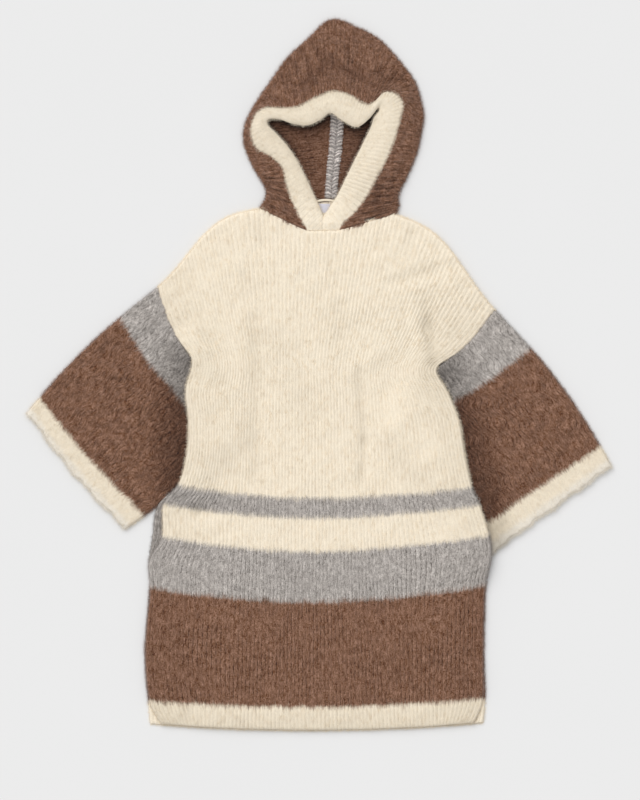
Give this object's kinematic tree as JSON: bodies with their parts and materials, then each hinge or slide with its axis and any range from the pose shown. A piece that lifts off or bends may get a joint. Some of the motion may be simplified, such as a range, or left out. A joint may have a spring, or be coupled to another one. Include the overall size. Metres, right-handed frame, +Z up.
{
  "type": "knit hoodie laid flat",
  "caption": "Long hooded pullover in brushed rib knit with wide short sleeves, laid flat, in cream with grey and brown colour blocks and an open cream-edged hood.",
  "frame": {"origin": "middle of the garment's box in X and Y, on the surface that it lies on", "axes": "+X to the viewer's right across the front, +Y from the hem to the hood, +Z up out of the surface, the way the front faces"},
  "size_m": [0.972, 1.172, 0.0279],
  "materials": {
    "cream_knit": "brushed rib knit, cream yarn with a soft halo",
    "grey_knit": "brushed rib knit, heathered grey yarn",
    "brown_knit": "brushed rib knit, heathered brown yarn",
    "label": "plain woven label"
  },
  "bodies": {
    "root": {"back": "cream_knit", "front": "cream_knit", "sleeve_left": "brown_knit", "sleeve_right": "brown_knit", "hood": "brown_knit", "hood_back_seam": "grey_knit", "neck_label": "label"}
  },
  "joints": []
}
